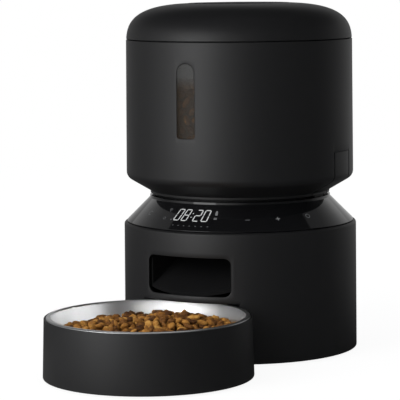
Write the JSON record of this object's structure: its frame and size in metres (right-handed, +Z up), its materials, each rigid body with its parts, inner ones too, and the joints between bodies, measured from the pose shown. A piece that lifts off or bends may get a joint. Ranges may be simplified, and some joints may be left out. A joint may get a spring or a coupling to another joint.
{
  "type": "pet food and water dispenser",
  "caption": "Round automatic dry-food feeder: a lidded tank with a sight window on a base with a dosing rotor and gear motor, and a steel bowl in a plug-in holder.",
  "frame": {"origin": "centre of the footprint of the tower and the bowl holder, on the table", "axes": "+Z up, the front with the bowl towards -Y, +X to the feeder's left as it faces away"},
  "size_m": [0.191, 0.3308, 0.2822],
  "materials": {
    "satin_black": "moulded, very fine satin texture",
    "piano_black": "polished",
    "inner_plastic": "moulded, matt",
    "smoked_clear": "clear plastic, lightly smoked",
    "bowl_steel": "spun and brushed",
    "gear_steel": "machined",
    "silicone": "soft, matt",
    "rubber": "matt",
    "acetal": "moulded, slightly waxy",
    "board_green": "solder mask",
    "cell_jacket": "printed steel jacket, left bare",
    "bronze": "plain"
  },
  "bodies": {
    "base": {"base_shell": "satin_black", "upper_chassis": "inner_plastic", "control_ring": "piano_black", "display_board": "board_green", "touch_strip": "bronze", "food_chute": "inner_plastic", "gear_case": "inner_plastic", "drive_motor": "gear_steel", "compound_gear_pin": "gear_steel", "output_bush": "bronze", "bottom_plate": "satin_black", "battery_box": "inner_plastic", "battery_cell_1": "cell_jacket", "battery_cell_2": "cell_jacket", "battery_cell_3": "cell_jacket", "battery_contact_front": "bronze", "battery_contact_rear": "bronze", "foot_rear_right": "rubber", "foot_rear_left": "rubber", "foot_front_right": "rubber", "foot_front_left": "rubber", "main_board": "board_green", "board_spacer": "acetal", "power_inlet": "inner_plastic"},
    "battery_door": {"battery_door": "satin_black"},
    "output_drive": {"output_gear": "acetal"},
    "compound_drive": {"compound_gear": "acetal"},
    "motor_drive": {"drive_pinion": "gear_steel"},
    "tank": {"tank_shell": "satin_black", "tank_window": "smoked_clear", "hopper_funnel": "inner_plastic", "portion_cover": "inner_plastic"},
    "flap_right": {"release_flap_right": "satin_black"},
    "flap_left": {"release_flap_left": "satin_black"},
    "rotor": {"dosing_rotor": "acetal", "stirrer": "silicone"},
    "lid": {"lid_shell": "satin_black", "lid_plug": "inner_plastic", "lid_seal": "silicone", "desiccant_cage": "inner_plastic"},
    "knob": {"lid_knob": "satin_black", "cam_plate": "acetal"},
    "bolt_1": {"lid_bolt_1": "acetal"},
    "bolt_2": {"lid_bolt_2": "acetal"},
    "bolt_3": {"lid_bolt_3": "acetal"},
    "bolt_4": {"lid_bolt_4": "acetal"},
    "dish": {"bowl_holder": "satin_black", "steel_bowl": "bowl_steel", "holder_pad_rear_left": "rubber", "holder_pad_rear_right": "rubber", "holder_pad_front_right": "rubber", "holder_pad_front_left": "rubber"}
  },
  "joints": [
    {"name": "tank_lift", "type": "slide", "parent": "base", "child": "tank", "axis": [0, 0, 1], "range_m": [0, 0.04]},
    {"name": "lid_lift", "type": "slide", "parent": "tank", "child": "lid", "axis": [0, 0, 1], "range_m": [0, 0.045]},
    {"name": "knob_turn", "type": "hinge", "parent": "lid", "child": "knob", "pos_m": [0, 0.06985, 0.2778], "axis": [0, 0, -1], "range_deg": [0, 60]},
    {"name": "flap_press_right", "type": "hinge", "parent": "tank", "child": "flap_right", "pos_m": [0.0912, 0.06985, 0.1639], "axis": [0, 1, 0], "range_deg": [0, 3], "stiffness_Nm_per_rad": 0.2},
    {"name": "flap_press_left", "type": "hinge", "parent": "tank", "child": "flap_left", "pos_m": [-0.0912, 0.06985, 0.1639], "axis": [0, -1, 0], "range_deg": [0, 3], "stiffness_Nm_per_rad": 0.2},
    {"name": "rotor_spin", "type": "hinge", "parent": "tank", "child": "rotor", "pos_m": [0, 0.06985, 0.1243], "axis": [0, 0, 1], "continuous": true},
    {"name": "output_spin", "type": "hinge", "parent": "base", "child": "output_drive", "pos_m": [0, 0.06985, 0.112], "axis": [0, 0, 1], "continuous": true},
    {"name": "compound_spin", "type": "hinge", "parent": "base", "child": "compound_drive", "pos_m": [0.012, 0.09063, 0.105], "axis": [0, 0, 1], "continuous": true},
    {"name": "pinion_spin", "type": "hinge", "parent": "base", "child": "motor_drive", "pos_m": [-0.00878, 0.10264, 0.105], "axis": [0, 0, 1], "continuous": true},
    {"name": "holder_pull", "type": "slide", "parent": "base", "child": "dish", "axis": [0, -1, 0], "range_m": [0, 0.05]},
    {"name": "battery_door_swing", "type": "hinge", "parent": "base", "child": "battery_door", "pos_m": [0, 0.0508, 0.0038], "axis": [-1, 0, 0], "range_deg": [0, 90]},
    {"name": "bolt_slide_1", "type": "slide", "parent": "lid", "child": "bolt_1", "axis": [0.7071, 0.7071, 0], "range_m": [0, 0.0034]},
    {"name": "bolt_slide_2", "type": "slide", "parent": "lid", "child": "bolt_2", "axis": [-0.7071, 0.7071, 0], "range_m": [0, 0.0034]},
    {"name": "bolt_slide_3", "type": "slide", "parent": "lid", "child": "bolt_3", "axis": [-0.7071, -0.7071, 0], "range_m": [0, 0.0034]},
    {"name": "bolt_slide_4", "type": "slide", "parent": "lid", "child": "bolt_4", "axis": [0.7071, -0.7071, 0], "range_m": [0, 0.0034]}
  ],
  "couplings": [
    {"joint": "bolt_slide_1", "follows": "knob_turn", "m_per_rad": 0.0032467},
    {"joint": "bolt_slide_2", "follows": "knob_turn", "m_per_rad": 0.0032467},
    {"joint": "bolt_slide_3", "follows": "knob_turn", "m_per_rad": 0.0032467},
    {"joint": "bolt_slide_4", "follows": "knob_turn", "m_per_rad": 0.0032467},
    {"joint": "output_spin", "follows": "rotor_spin", "ratio": 1},
    {"joint": "compound_spin", "follows": "rotor_spin", "ratio": -3},
    {"joint": "pinion_spin", "follows": "rotor_spin", "ratio": 9}
  ]
}
